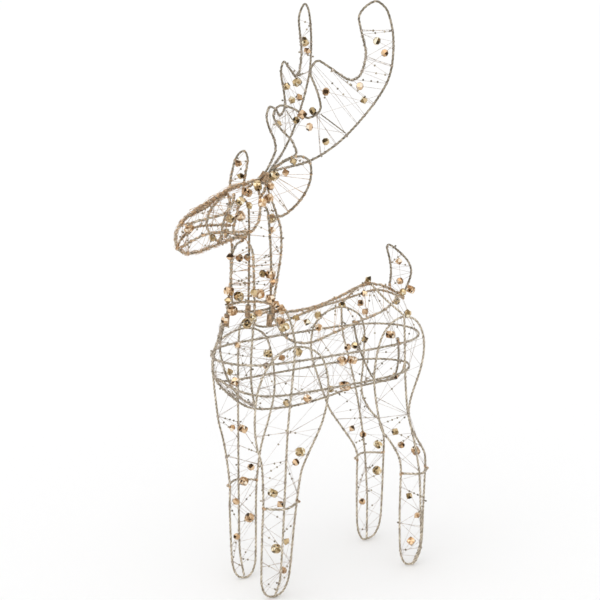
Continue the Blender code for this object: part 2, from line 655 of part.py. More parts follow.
# The head: a profile down its middle, rails and hoops on both sides, and the ears
bend_wire("face_profile", "head_and_neck", middle(FACE))
bend_wire("muzzle_hoop", "head_and_neck", full_loop(MUZZLE_HOOP), closed=True)
bend_wire("throat_hoop", "head_and_neck", full_loop(THROAT_HOOP), closed=True)
for side_name in SIDES:
    bend_wire(f"{side_name}_cheek_rail", "head_and_neck", mirrored(CHEEK_RAIL, side_name))
    bend_wire(f"{side_name}_jaw_rail", "head_and_neck", mirrored(JAW_RAIL, side_name))
    bend_wire(f"{side_name}_ear", "head_and_neck", mirrored(EAR[side_name], side_name))


def antler_point(distance, z, side):
    """A point of an antler's upright plane, which leans out to its own side."""
    x = ANTLER_PLAN[0] + ANTLER_HEADING[0] * distance
    y = ANTLER_PLAN[1] + ANTLER_HEADING[1] * distance
    crown_z = STEM_FOOT[2]
    return Vector((x, -SIDES[side] * y, crown_z + (z - crown_z) * ANTLER_STRETCH[side]))


def stem_point(distance, spread, side):
    """A point on an antler's prong, this far up from the foot of its socket."""
    axis = Vector(STEM_AXIS).normalized()
    across = Vector((-axis.z, 0, axis.x))
    foot = Vector((STEM_FOOT[0], -SIDES[side] * STEM_FOOT[1], STEM_FOOT[2]))
    return foot + axis * distance + across * spread


def antler_socket(side):
    """A slot-shaped block with two bores, which takes both prongs of an antler."""
    name = f"{side}_antler_socket"
    curve = bpy.data.curves.new(name, "CURVE")
    curve.dimensions = "2D"
    curve.fill_mode = "BOTH"
    curve.extrude = SOCKET_LENGTH / 2 * MM
    ring_outline(curve, [(STEM_SPREAD, 0), (-STEM_SPREAD, 0)], SOCKET_RADIUS)
    ring_outline(curve, [(STEM_SPREAD, 0)], SLEEVE_BORE)
    ring_outline(curve, [(-STEM_SPREAD, 0)], SLEEVE_BORE)
    curve.materials.append(SLEEVE)
    obj = bpy.data.objects.new(name, curve)
    axis = Vector(STEM_AXIS).normalized()
    across = Vector((-axis.z, 0, axis.x))
    turn = Matrix((across, axis.cross(across), axis)).transposed().to_4x4()
    obj.matrix_world = Matrix.Translation(stem_point(SOCKET_LENGTH / 2, 0, side) * MM) @ turn
    PARTS.objects.link(obj)
    hang(obj, "head_and_neck")


# The antlers: each one bent wire whose two ends are prongs in a socket on the crown
PRONG_HEIGHTS = (1.0, 15.0, 21.0)
for side_name in SIDES:
    antler_socket(side_name)
    rise = [stem_point(height, STEM_SPREAD, side_name) for height in PRONG_HEIGHTS]
    fall = [stem_point(height, -STEM_SPREAD, side_name) for height in reversed(PRONG_HEIGHTS)]
    outline = [antler_point(distance, z, side_name) for distance, z in ANTLER]
    joint = f"{side_name}_antler_joint"
    bend_wire(f"{side_name}_antler", joint, rise + outline + fall)
    inward = Vector((0, -SIDES[side_name] * TIE_OFFSET, 0))
    tie = [antler_point(distance, z, side_name) + inward for distance, z in ANTLER_TIE]
    tube(f"{side_name}_antler_tie", joint, tie, FRAME, radius=TIE_RADIUS)
    stops = planned(ANTLER_STRING[side_name], lambda d, z: antler_point(d, z, side_name))
    light_string(f"{side_name}_antler_lights", joint, stops)

# Light strings laced across each leg, below the body
for leg, (front_edge, back_edge, stance, sign) in leg_lines.items():
    beads = [Vector((x, sign * stance_at(stance, z), z)) for x, z in LEG_BEADS[leg]]
    light_string(f"{leg}_lights", "torso", laced(front_edge, back_edge, beads, HEIGHT,
                                                 LEG_STRING_LOW, LEG_STRING_HIGH[leg]))

# Light strings on the body: one from the chest along the left flank, one along the right flank
# and back under the belly, and one on each side of the spine
keel = smooth(middle(KEEL))
saddles = {side_name: smooth(mirrored(SADDLE, side_name)) for side_name in SIDES}
low_rails = {side_name: smooth(mirrored(LOWER_RING, side_name)) for side_name in SIDES}
flanks = {side_name: laced(low_rails[side_name], saddles[side_name],
                           mirrored(FLANK_BEADS[side_name], side_name), LENGTH, *FLANK_RUN)
          for side_name in SIDES}
chest = laced(smooth(mirrored(FRONT_HOOP, "left")), keel, mirrored(CHEST_BEADS, "left"),
              HEIGHT, *CHEST_RUN)
belly = laced(keel[keel.index(min(keel, key=lambda p: p.x)):], low_rails["left"],
              mirrored(BELLY_BEADS, "left"), LENGTH, *BELLY_RUN)
lowest_bead_first = chest[1:]
light_string("left_flank_lights", "torso", lowest_bead_first[::-1] + flanks["left"])
light_string("right_flank_lights", "torso", flanks["right"] + belly[::-1])
for side_name in SIDES:
    light_string(f"{side_name}_back_lights", "torso",
                 laced(saddles[side_name], smooth(middle(SPINE)),
                       mirrored(BACK_BEADS[side_name], side_name), LENGTH, *BACK_RUN[side_name]))
light_string("tail_lights", "torso", planned(TAIL_STRING, lambda x, z: Vector((x, 0, z))))

# A light string wound inside the neck from wire to wire, and on over the nape
neck_stops = [(turn % len(neck_order), NECK_STRING_LOW + NECK_STRING_RISE * turn)
              for turn in range(NECK_STRING_TURNS)] + NAPE_STOPS
neck_turns = []
for wire_index, height in neck_stops:
    here = at_height(neck_order[wire_index], height, False)
    inward = Vector((NECK_CENTRE_X, 0, height)) - here
    neck_turns.append(here + inward.normalized() * INSET)
neck_string = []
for i, (here, after) in enumerate(zip(neck_turns, neck_turns[1:])):
    neck_string.append((here, False))
    neck_string += [(here.lerp(after, share), True) for share in NECK_BEADS.get(i, [])]
light_string("neck_lights", "head_and_neck", neck_string + [(neck_turns[-1], False)])

# A light string to and fro inside the head, from the muzzle to the crown
light_string("head_lights", "head_and_neck", planned(HEAD_STRING, lambda *place: Vector(place)))
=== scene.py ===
import json
import math
import random

import bmesh
import bpy
import numpy as np
from mathutils import Matrix, Vector

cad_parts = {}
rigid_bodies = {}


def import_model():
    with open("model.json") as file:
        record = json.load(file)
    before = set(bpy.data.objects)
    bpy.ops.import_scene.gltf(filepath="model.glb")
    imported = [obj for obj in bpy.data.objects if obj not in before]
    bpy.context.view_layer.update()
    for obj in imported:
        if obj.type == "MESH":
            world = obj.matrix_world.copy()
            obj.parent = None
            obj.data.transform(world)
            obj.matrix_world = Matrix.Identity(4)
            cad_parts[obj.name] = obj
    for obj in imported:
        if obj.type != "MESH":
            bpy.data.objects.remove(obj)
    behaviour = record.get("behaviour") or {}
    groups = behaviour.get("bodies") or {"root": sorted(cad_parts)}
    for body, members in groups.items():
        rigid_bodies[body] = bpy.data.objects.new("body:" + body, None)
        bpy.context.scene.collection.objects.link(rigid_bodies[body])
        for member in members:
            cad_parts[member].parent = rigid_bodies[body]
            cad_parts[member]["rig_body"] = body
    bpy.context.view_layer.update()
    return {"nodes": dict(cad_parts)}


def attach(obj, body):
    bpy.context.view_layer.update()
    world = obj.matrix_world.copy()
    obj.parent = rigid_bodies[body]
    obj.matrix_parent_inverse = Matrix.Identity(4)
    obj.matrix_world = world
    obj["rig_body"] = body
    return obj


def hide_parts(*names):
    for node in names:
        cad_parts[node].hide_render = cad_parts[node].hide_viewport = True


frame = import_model()
bpy.ops.object.select_all(action="DESELECT")

# The frame wires are 3 mm steel, wound over their whole length with three strands of champagne
# glitter thread. Each is bent by hand from one length, so each piece follows its own wire's line.
# The antlers and their thin ties, the ears, the tail and the rear wires have darker thread.
WIRE_RADIUS = 0.0015
SAME_PLACE, NO_LENGTH = 1e-5, 1e-7
RING_EDGE = 0.00175
RING_CORNERS = 5
FLOOR_CUT = 0.0003
THREAD_STRANDS = 3
STRAND_CORNERS = 4
THREAD_DEPTH = 0.0003
THREAD_PITCH = 0.0155
LEG_TONE, BODY_TONE, DARK_TONE = 1, 0.78, 0.3
DARK_BATCH = ("antler", "_ear", "tail", "rear")
WIRE_STEP = 0.0009


def centre_line(node):
    """The middle line of a bent wire, whether it closes, and its radius, from its solid's rings."""
    mesh = bmesh.new()
    mesh.from_mesh(frame["nodes"][node].data)
    bmesh.ops.remove_doubles(mesh, verts=mesh.verts, dist=SAME_PLACE)
    bmesh.ops.delete(mesh, geom=[v for v in mesh.verts if v.co.z < FLOOR_CUT], context="VERTS")
    ring_of = {}
    rings = []
    for vert in mesh.verts:
        if vert in ring_of:
            continue
        ring, waiting = [], [vert]
        ring_of[vert] = len(rings)
        while waiting:
            here = waiting.pop()
            ring.append(here.co.copy())
            for edge in here.link_edges:
                beside = edge.other_vert(here)
                if beside not in ring_of and edge.calc_length() < RING_EDGE:
                    ring_of[beside] = len(rings)
                    waiting.append(beside)
        rings.append(ring)
    joined = {i: set() for i in range(len(rings))}
    for edge in mesh.edges:
        a, b = (ring_of[v] for v in edge.verts)
        if a != b:
            joined[a].add(b)
            joined[b].add(a)
    mesh.free()
    ends = [i for i in joined if len(joined[i]) == 1]
    order = [ends[0] if ends else 0]
    while True:
        ahead = [i for i in joined[order[-1]] if i not in order]
        if not ahead:
            break
        order.append(ahead[0])
    whole = [rings[i] for i in order if len(rings[i]) >= RING_CORNERS]
    line = [sum(ring, Vector()) / len(ring) for ring in whole]
    radius = max((corner - line[1]).length for corner in whole[1])
    return line, len(ends) < 2, radius


def rounded(line, closed, step):
    """Evenly spaced points on a smooth line through these ones, and its length."""
    count = len(line)
    fine = []
    for i in range(count if closed else count - 1):
        if closed:
            a, b, c, d = (line[(i + k - 1) % count] for k in range(4))
        else:
            b, c = line[i], line[i + 1]
            a = line[i - 1] if i else b * 2 - c
            d = line[i + 2] if i + 2 < count else c * 2 - b
        reach = (c - b).length
        pull_in = (c - a) * (reach / max((b - a).length + reach, NO_LENGTH))
        pull_out = (d - b) * (reach / max((d - c).length + reach, NO_LENGTH))
        steps = max(int(reach / step * 2), 1)
        for k in range(steps):
            t = k / steps
            fine.append(b * (2 * t**3 - 3 * t**2 + 1) + pull_in * (t**3 - 2 * t**2 + t)
                        + c * (3 * t**2 - 2 * t**3) + pull_out * (t**3 - t**2))
    fine.append(line[0] if closed else line[-1])
    fine = np.array(fine)
    run = np.r_[0, np.cumsum(np.linalg.norm(np.diff(fine, axis=0), axis=1))]
    even = np.linspace(0, run[-1], max(int(run[-1] / step), 2) + 1)
    spaced = np.column_stack([np.interp(even, run, fine[:, k]) for k in range(3)])
    return (spaced[:-1] if closed else spaced), run[-1]


wires = {node: centre_line(node) for node in frame["nodes"]
         if not node.endswith(("_lights", "_sleeve", "_socket"))}

lobed_section = bpy.data.curves.new("thread_profile", "CURVE")
thread_profile = bpy.data.objects.new("thread_profile", lobed_section)
bpy.context.scene.collection.objects.link(thread_profile)
lobed_ring = lobed_section.splines.new("POLY")
lobed_ring.points.add(THREAD_STRANDS * STRAND_CORNERS - 1)
lobed_ring.use_cyclic_u = True
# How far each corner of a strand stands out. The same values paint the highlight on each ridge and the
# shade between the strands.
ridge_height_and_shade = 0.5 + 0.5 * np.cos(2 * math.pi * np.arange(STRAND_CORNERS) / STRAND_CORNERS)
for i, corner in enumerate(lobed_ring.points):
    angle = 2 * math.pi * i / len(lobed_ring.points)
    radius = WIRE_RADIUS - THREAD_DEPTH * (1 - ridge_height_and_shade[i % STRAND_CORNERS])
    corner.co = (radius * math.cos(angle), radius * math.sin(angle), 0, 1)


def glitter_flakes():
    """A node group of glitter: a tone for each flake, and how high it stands."""
    group = bpy.data.node_groups.new("glitter_flakes", "ShaderNodeTree")
    group.interface.new_socket("Flakes per metre", in_out="INPUT", socket_type="NodeSocketFloat")
    group.interface.new_socket("Tone", in_out="OUTPUT", socket_type="NodeSocketFloat")
    group.interface.new_socket("Height", in_out="OUTPUT", socket_type="NodeSocketFloat")
    nodes, links = group.nodes, group.links
    given, made = nodes.new("NodeGroupInput"), nodes.new("NodeGroupOutput")
    place = nodes.new("ShaderNodeTexCoord")
    flakes = nodes.new("ShaderNodeTexVoronoi")
    links.new(place.outputs["Object"], flakes.inputs["Vector"])
    links.new(given.outputs["Flakes per metre"], flakes.inputs["Scale"])
    links.new(flakes.outputs["Color"], made.inputs["Tone"])
    links.new(flakes.outputs["Distance"], made.inputs["Height"])
    return group


glitter = glitter_flakes()


def toned(material, tones):
    """A ramp of colours in a material, given as (position, colour)."""
    ramp = material.node_tree.nodes.new("ShaderNodeValToRGB")
    for i, (position, colour) in enumerate(tones):
        stop = ramp.color_ramp.elements[i] if i < 2 else ramp.color_ramp.elements.new(position)
        stop.position = position
        stop.color = (*colour, 1)
    return ramp


def glitter_thread():
    """Champagne thread with flakes: a painted highlight on each strand's ridge, painted shade between.
    """
    material = bpy.data.materials.new("glitter_thread")
    material.use_nodes = True
    nodes, links = material.node_tree.nodes, material.node_tree.links
    shader = nodes["Principled BSDF"]
    flakes = nodes.new("ShaderNodeGroup")
    flakes.node_tree = glitter
    flakes.inputs["Flakes per metre"].default_value = 340
    # The painted shade between the strands and painted highlight on their ridges, scaled by the thread
    # batch's tone.
    ridge = nodes.new("ShaderNodeAttribute")
    ridge.attribute_name = "strand_shade_and_batch_tone"
    both = nodes.new("ShaderNodeMix")
    both.inputs["Factor"].default_value = 0.5
    # The ramp runs from painted shade, dark brown between the strands, to a painted cream highlight on
    # the ridges, with the flakes' own tone mixed in.
    tint = toned(material, ((0.1, (0.12, 0.098, 0.066)), (0.9, (0.98, 0.90, 0.76)),
                            (0.3, (0.25, 0.21, 0.15)), (0.5, (0.46, 0.39, 0.295)),
                            (0.7, (0.72, 0.63, 0.50))))
    shine = nodes.new("ShaderNodeMapRange")
    shine.inputs["To Min"].default_value = 0.6
    shine.inputs["To Max"].default_value = 0.28
    pits = nodes.new("ShaderNodeBump")
    pits.inputs["Strength"].default_value = 0.6
    pits.inputs["Distance"].default_value = 0.0003
    links.new(flakes.outputs["Tone"], both.inputs["A"])
    links.new(ridge.outputs["Fac"], both.inputs["B"])
    links.new(both.outputs["Result"], tint.inputs["Fac"])
    links.new(tint.outputs["Color"], shader.inputs["Base Color"])
    links.new(flakes.outputs["Tone"], shine.inputs["Value"])
    links.new(shine.outputs["Result"], shader.inputs["Roughness"])
    links.new(flakes.outputs["Height"], pits.inputs["Height"])
    links.new(pits.outputs["Normal"], shader.inputs["Normal"])
    shader.inputs["Metallic"].default_value = 0.4
    return material


wire_finish = glitter_thread()


def as_piece(name, body, curve):
    """A curve turned to a smooth mesh of its own, which rides a body."""
    obj = bpy.data.objects.new(name, curve)
    bpy.context.scene.collection.objects.link(obj)
    bpy.ops.object.select_all(action="DESELECT")
    obj.select_set(True)
    bpy.context.view_layer.objects.active = obj
    bpy.ops.object.convert(target="MESH")
    bpy.ops.object.shade_smooth()
    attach(obj, body)
    return obj


def wrapped_wire(node):
    """A wire with its thread, swept along its line with a slow twist, in place of its solid."""
    line, closed, radius = wires[node]
    spaced, length = rounded(line, closed, WIRE_STEP)
    count = len(spaced)
    turn = round(length / THREAD_PITCH * THREAD_STRANDS) * 2 * math.pi / THREAD_STRANDS
    curve = bpy.data.curves.new(f"{node}_wrapped", "CURVE")
    curve.dimensions = "3D"
    curve.bevel_mode = "OBJECT"
    curve.bevel_object = thread_profile
    curve.use_fill_caps = True
    spline = curve.splines.new("POLY")
    spline.points.add(count - 1)
    spline.use_cyclic_u = closed
    spline.points.foreach_set("co", np.c_[spaced, np.ones(count)].ravel())
    spline.points.foreach_set("tilt", turn * np.arange(count) / (count if closed else count - 1))
    spline.points.foreach_set("radius", np.full(count, radius / WIRE_RADIUS))
    curve.materials.append(wire_finish)
    piece = as_piece(f"{node}_wrapped", frame["nodes"][node]["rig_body"], curve)
    tone = LEG_TONE if "_leg_" in node else BODY_TONE
    tone = DARK_TONE if any(word in node for word in DARK_BATCH) else tone
    # Painted shade between the strands and painted highlight on their ridges, darkened as a whole for
    # the darker batches of thread.
    tones = np.resize(ridge_height_and_shade, len(piece.data.vertices)) * tone
    piece.data.attributes.new("strand_shade_and_batch_tone", "FLOAT", "POINT").data.foreach_set("value", tones)
    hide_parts(node)


for node in wires:
    wrapped_wire(node)
bpy.data.objects.remove(thread_profile)

# The neck sleeves and antler sockets are short steel tubes on the frame, which take the bare ends
# of the wires above them. They are painted brown with glitter in the paint, to match the thread.
sleeve_finish = bpy.data.materials.new("brown_glitter_paint")
sleeve_finish.use_nodes = True
sleeve_shader = sleeve_finish.node_tree.nodes["Principled BSDF"]
sleeve_flakes = sleeve_finish.node_tree.nodes.new("ShaderNodeGroup")
sleeve_flakes.node_tree = glitter
sleeve_flakes.inputs["Flakes per metre"].default_value = 700
sleeve_tint = toned(sleeve_finish, ((0, (0.20, 0.16, 0.12)), (1, (0.72, 0.63, 0.50)),
                                    (0.6, (0.36, 0.30, 0.23))))
sleeve_finish.node_tree.links.new(sleeve_flakes.outputs["Tone"], sleeve_tint.inputs["Fac"])
sleeve_finish.node_tree.links.new(sleeve_tint.outputs["Color"], sleeve_shader.inputs["Base Color"])
sleeve_shader.inputs["Roughness"].default_value = 0.45
sleeve_shader.inputs["Metallic"].default_value = 0.5
for node, obj in frame["nodes"].items():
    if node.endswith(("_sleeve", "_socket")):
        obj.data.materials.clear()
        obj.data.materials.append(sleeve_finish)

# The lacing is a fine plated wire, run by hand to and fro across every bay of the frame and turned
# round each rail that it meets. More of it is wound along the rails of the head, neck and back,
# and round the sleeves and sockets. It is copper on the head, neck, back and ears, and pale elsewhere.
LACE_RADIUS = 0.00023
WRAP_RADIUS = WIRE_RADIUS + LACE_RADIUS
WRAP_STEPS = 7
TURN_STEP = LACE_RADIUS * 2.2
KNOT_TURNS = (1, 2, 3, 4)
RAIL_STEP = 0.003
RUN_WANDER = 0.55
FAN_SHARE = 0.3
STRAND_STEP = 0.0016
STRAND_PITCH = (0.0042, 0.009)
STRAND_START = (0, 6)
STRAND_LOOSEST = 0.0024
OFF_ANY_RAIL = (0.31, 0.83, 0.47)
BIND_LENGTH = 0.92
BIND_ROOM = 1.12
BIND_STEPS = 12
X, Y, Z = 0, 1, 2
LEGS = [f"{end}_{side}_leg" for end in ("front", "hind") for side in ("left", "right")]
REGIONS = {
    "torso": [*LEGS, "left_flank", "right_flank", "left_back", "right_back", "tail"],
    "head_and_neck": ["neck", "head", "left_ear", "right_ear"],
    "left_antler": ["left_antler"],
    "right_antler": ["right_antler"],
}
chance = random.Random(24)
laced = {region: {"body": body, "paths": [], "spans": [], "knots": []}
         for body, regions in REGIONS.items() for region in regions}
rails = {}
for node, (line, closed, _) in wires.items():
    spaced, _ = rounded(line, closed, RAIL_STEP)
    rails[node] = np.vstack([spaced, spaced[:1]]) if closed else spaced


def plated_wire(name, worn_tone, bright_tone):
    """Thin plated wire, uneven in tone where the plating is worn."""
    material = bpy.data.materials.new(name)
    material.use_nodes = True
    nodes, links = material.node_tree.nodes, material.node_tree.links
    shader = nodes["Principled BSDF"]
    place = nodes.new("ShaderNodeTexCoord")
    worn = nodes.new("ShaderNodeTexNoise")
    worn.inputs["Scale"].default_value = 380
    tint = toned(material, ((0.32, worn_tone), (0.66, bright_tone)))
    links.new(place.outputs["Object"], worn.inputs["Vector"])
    links.new(worn.outputs["Fac"], tint.inputs["Fac"])
    links.new(tint.outputs["Color"], shader.inputs["Base Color"])
    shader.inputs["Metallic"].default_value = 0.8
    shader.inputs["Roughness"].default_value = 0.36
    return material


copper_lace = plated_wire("copper_lacing_wire", (0.30, 0.17, 0.085), (0.96, 0.71, 0.46))
pale_lace = plated_wire("pale_gilt_lacing_wire", (0.28, 0.22, 0.175), (0.84, 0.74, 0.64))
COPPER_LACED = ("head", "neck", "left_back", "right_back", "left_ear", "right_ear")


def stretch(rail, axis, low, high, rise=None):
    """A rail's longest stretch between two marks on one axis, turned so that this axis rises."""
    inside = (rail[:, axis] > low) & (rail[:, axis] < high)
    if np.allclose(rail[0], rail[-1]) and not inside.all():
        start = int(inside.argmin())
        rail, inside = np.roll(rail[:-1], -start, axis=0), np.roll(inside[:-1], -start)
    marks = np.flatnonzero(np.diff(np.r_[False, inside, False]))
    longest = (marks[1::2] - marks[::2]).argmax()
    run = rail[marks[2 * longest]:marks[2 * longest + 1]]
    rise = axis if rise is None else rise
    return run if run[-1, rise] > run[0, rise] else run[::-1]


def part_of(rail, low, high):
    """The part of a rail between two shares of its length, from the first share to the second."""
    first, last = (round(share * (len(rail) - 1)) for share in sorted((low, high)))
    run = rail[first:last + 1]
    return run if low < high else run[::-1]


def loop_edges(loop):
    """The two edges of a closed loop, each from its lowest place to its highest."""
    loop = np.roll(loop[:-1], -loop[:-1, Z].argmin(), axis=0)
    top = loop[:, Z].argmax()
    return loop[:top + 1], np.vstack([loop[top:], loop[:1]])[::-1]


def outline_edges(outline):
    """The two edges of an open outline, each from its root to the tip."""
    root = (outline[0] + outline[-1]) / 2
    tip = np.linalg.norm(outline - root, axis=1).argmax()
    return outline[:tip + 1], outline[tip:][::-1]


def turned_round(place, along, arriving, turns):
    """The lacing's turns round a rail, from the side where it arrives."""
    side = arriving - place
    side = side - along * side.dot(along)
    side /= max(np.linalg.norm(side), NO_LENGTH)
    over = np.cross(along, side)
    steps = WRAP_STEPS * turns
    turn = []
    for k in range(steps + 1):
        angle = 2 * math.pi * k / WRAP_STEPS
        shift = TURN_STEP * turns * (k / steps - 0.5)
        turn.append(place + along * shift
                    + (side * math.cos(angle) + over * math.sin(angle)) * WRAP_RADIUS)
    return turn


def lace_bay(region, near, far, runs):
    """Lacing from one rail of a bay to the other and back, now and then in a fan from one place."""
    path, last = [], {}
    before = far[0]
    for k in range(runs + 1):
        rail = (near, far)[k % 2]
        share = min(max((k + chance.gauss(0, RUN_WANDER)) / runs, 0), 1)
        if chance.random() < FAN_SHARE:
            share = last.get(k % 2, share)
        last[k % 2] = share
        at = share * (len(rail) - 1)
        i = min(int(at), len(rail) - 2)
        along = rail[i + 1] - rail[i]
        place = rail[i] + along * (at - i)
        along = along / np.linalg.norm(along)
        if path:
            laced[region]["spans"].append((before, place))
        path += turned_round(place, along, before, chance.choice(KNOT_TURNS))
        laced[region]["knots"].append((place, along))
        before = place
    laced[region]["paths"].append(path)


def wind(region, rail, strands, loosest=STRAND_LOOSEST):
    """Strands of the lacing wound along a rail, some tight on it and some loose."""
    spaced, length = rounded([Vector(p) for p in rail], False, STRAND_STEP)
    along = np.gradient(spaced, axis=0)
    along /= np.linalg.norm(along, axis=1)[:, None]
    side = np.cross(along, OFF_ANY_RAIL)
    side /= np.linalg.norm(side, axis=1)[:, None]
    over = np.cross(along, side)
    for _ in range(strands):
        radius = chance.uniform(WRAP_RADIUS, loosest)
        pitch = chance.uniform(*STRAND_PITCH) * (radius / WRAP_RADIUS)**2
        angle = np.linspace(0, 2 * math.pi * length / pitch, len(spaced)) + chance.uniform(*STRAND_START)
        wave = side * np.cos(angle)[:, None] + over * np.sin(angle)[:, None]
        laced[region]["paths"].append(list(spaced + wave * radius))


def bind(region, node, turns):
    """Close turns of the lacing round a short tube, following its section."""
    corners = np.array([v.co for v in frame["nodes"][node].data.vertices])
    middle = corners.mean(0)
    ways = np.linalg.svd(corners - middle, full_matrices=False)[2]
    reach = abs((corners - middle) @ ways.T).max(0) * (BIND_LENGTH, BIND_ROOM, BIND_ROOM)
    angle = np.linspace(0, 2 * math.pi * turns, turns * BIND_STEPS)
    wave = np.c_[np.linspace(-1, 1, len(angle)), np.cos(angle), np.sin(angle)]
    laced[region]["paths"].append(list(middle + wave * reach @ ways))


# A leg is laced between its loop and its outer wire, from the sole to the knee and on to the thigh
SOLE_Z, KNEE_Z, THIGH_Z = 0.012, 0.14, 0.325
SHIN_RUNS, THIGH_RUNS = 10, 14
for leg in LEGS:
    edges = loop_edges(rails[f"{leg}_loop"])
    for low, high, runs in ((SOLE_Z, KNEE_Z, SHIN_RUNS), (KNEE_Z, THIGH_Z, THIGH_RUNS)):
        fore, aft = (stretch(edge, Z, low, high) for edge in edges)
        outer = stretch(rails[f"{leg}_outer_wire"], Z, low, high)
        lace_bay(leg, fore, outer, runs)
        lace_bay(leg, outer, aft, runs)
        lace_bay(leg, aft, fore, runs // 2)
    wind(leg, rails[f"{leg}_knee_brace"], 1)

# The body is laced on each side from the spine down to the keel, and across the breast
BELLY_Z, CHEST_Z = 0.262, 0.365
BACK_RUNS, FLANK_RUNS, BELLY_RUNS, BREAST_RUNS = 28, 26, 20, 14
UPPER_FRONT, LOWER_FRONT = (0, 0.5), (0, 0.4)
HOOP_TOP, REAR_TOP = (0.88, 1), (0.8, 1)
HOOP_LOOSEST, REAR_LOOSEST = 0.003, 0.0026
SLEEVE_TURNS = 22
for side, across in (("left", (-1, 0)), ("right", (0, 1))):
    spine = stretch(rails["spine_rail"], X, -1, 1)
    saddle = stretch(rails[f"{side}_saddle_rail"], X, -1, 1)
    upper, lower = (stretch(rails[ring], Y, *across, X) for ring in ("upper_ring", "lower_ring"))
    keel = stretch(rails["keel_rail"], Z, 0, BELLY_Z, X)
    breast = stretch(rails["keel_rail"], Z, BELLY_Z, CHEST_Z)
    hoop = stretch(rails["front_belly_hoop"], Y, *across, Z)
    lace_bay(f"{side}_back", spine, saddle, BACK_RUNS)
    lace_bay(f"{side}_flank", saddle, upper, FLANK_RUNS)
    lace_bay(f"{side}_flank", upper, lower, FLANK_RUNS)
    lace_bay(f"{side}_flank", lower, keel, BELLY_RUNS)
    lace_bay(f"{side}_flank", hoop, breast, BREAST_RUNS)
    wind(f"{side}_back", saddle, 1)
    wind(f"{side}_back", spine, 2)
    wind(f"{side}_flank", breast, 1)
    wind(f"{side}_flank", part_of(breast, *HOOP_TOP), 2, HOOP_LOOSEST)
    wind(f"{side}_flank", part_of(upper, *UPPER_FRONT), 1)
    wind(f"{side}_flank", part_of(lower, *LOWER_FRONT), 1)
    wind(f"{side}_flank", part_of(hoop, *HOOP_TOP), 2, HOOP_LOOSEST)
    rear = stretch(rails["rear_belly_hoop"], Y, *across, Z)
    wind(f"{side}_flank", part_of(rear, *REAR_TOP), 2, REAR_LOOSEST)
for sleeve in ("front", "back", "left", "right"):
    bind("left_back", f"{sleeve}_neck_sleeve", SLEEVE_TURNS)

# The tail is one bay, wound at its two roots
TAIL_RUNS = 10
TAIL_ROOTS = ((0, 0.12), (0.88, 1))
lace_bay("tail", *outline_edges(rails["tail_loop"]), TAIL_RUNS)
for root in TAIL_ROOTS:
    wind("tail", part_of(rails["tail_loop"], *root), 2)

# The neck is laced round its six wires, above the sleeves that its prongs stand in
NECK_LOW_Z, NECK_TRIM = 0.386, 0.012
NECK_RUNS = 18
round_neck = ["front_neck_wire", "left_front_neck_wire", "left_rear_neck_wire", "back_neck_wire",
              "right_rear_neck_wire", "right_front_neck_wire"]
for name, beside in zip(round_neck, round_neck[1:] + round_neck[:1]):
    top = min(rails[name][:, Z].max(), rails[beside][:, Z].max()) - NECK_TRIM
    pair = (stretch(rails[wire], Z, NECK_LOW_Z, top) for wire in (name, beside))
    lace_bay("neck", *pair, NECK_RUNS)
    wind("neck", stretch(rails[name], Z, NECK_LOW_Z, 1), 1)
wind("neck", rails["neck_ring"], 3)

# The head is laced from the brow down each cheek to the chin, and thickly wound on the brow and jaw
MUZZLE_X = (-0.17, -0.1)
FACE_RUNS, CHEEK_RUNS = 12, 14
JAW_END, BROW_MIDDLE = (0.82, 1), (0.25, 0.8)
JAW_LOOSEST, FACE_LOOSEST, BROW_LOOSEST = 0.003, 0.0034, 0.0055
FACE_STRANDS, BROW_STRANDS = 8, 14
SOCKET_TURNS = 20
face = rails["face_profile"]
nose = face[:, X].argmin()
brow, chin = sorted((face[:nose + 1], face[nose:]), key=lambda run: -run[:, Z].mean())
for side, across in (("left", (-1, 0)), ("right", (0, 1))):
    cheek, jaw = (stretch(rails[f"{side}_{rail}_rail"], X, -1, 1) for rail in ("cheek", "jaw"))
    muzzle, throat = (stretch(rails[hoop], Y, *across, Z) for hoop in ("muzzle_hoop", "throat_hoop"))
    lace_bay("head", stretch(brow, X, *MUZZLE_X), cheek, FACE_RUNS)
    lace_bay("head", cheek, jaw, CHEEK_RUNS)
    lace_bay("head", jaw, stretch(chin, X, *MUZZLE_X), FACE_RUNS)
    lace_bay("head", muzzle, throat, FACE_RUNS)
    wind("head", cheek, 2)
    wind("head", jaw, 3)
    wind("head", part_of(jaw, *JAW_END), 3, JAW_LOOSEST)
    bind("head", f"{side}_antler_socket", SOCKET_TURNS)
    wind("head", muzzle, 2)
    wind("head", throat, 3)
wind("head", brow, FACE_STRANDS, FACE_LOOSEST)
wind("head", part_of(stretch(brow, X, -1, 1), *BROW_MIDDLE), BROW_STRANDS, BROW_LOOSEST)
wind("head", chin, FACE_STRANDS, FACE_LOOSEST)

# An ear is one bay, wound at its two roots. The near ear carries more lacing
EAR_RUNS = {"left_ear": 18, "right_ear": 7}
EAR_ROOTS = ((0, 0.3), (0.7, 1))
for ear, runs in EAR_RUNS.items():
    lace_bay(ear, *outline_edges(rails[ear]), runs)
    for root in EAR_ROOTS:
        wind(ear, part_of(rails[ear], *root), 3)

# An antler has three bays, given as shares of its outline from its front root to its back root
TINE_ROOT, TINE_TIP, NOTCH = 0.105, 0.168, 0.228
PALM_FRONT, PALM_BACK = (0.235, 0.41), (0.9, 0.725)
TALL_INNER, TALL_OUTER = (0.42, 0.53), (0.725, 0.61)
TINE_RUNS, PALM_RUNS, TALL_RUNS = 7, 16, 14
WOUND_PARTS = ((0.39, 0.5), (0.03, TINE_ROOT), (0.9, 0.97))
for antler in ("left_antler", "right_antler"):
    outline = stretch(rails[antler], X, -1, 1)
    tine = part_of(outline, TINE_ROOT, TINE_TIP), part_of(outline, NOTCH, TINE_TIP)
    lace_bay(antler, *tine, TINE_RUNS)
    lace_bay(antler, part_of(outline, *PALM_FRONT), part_of(outline, *PALM_BACK), PALM_RUNS)
    lace_bay(antler, part_of(outline, *TALL_INNER), part_of(outline, *TALL_OUTER), TALL_RUNS)
    for wound in WOUND_PARTS:
        wind(antler, part_of(outline, *wound), 2)

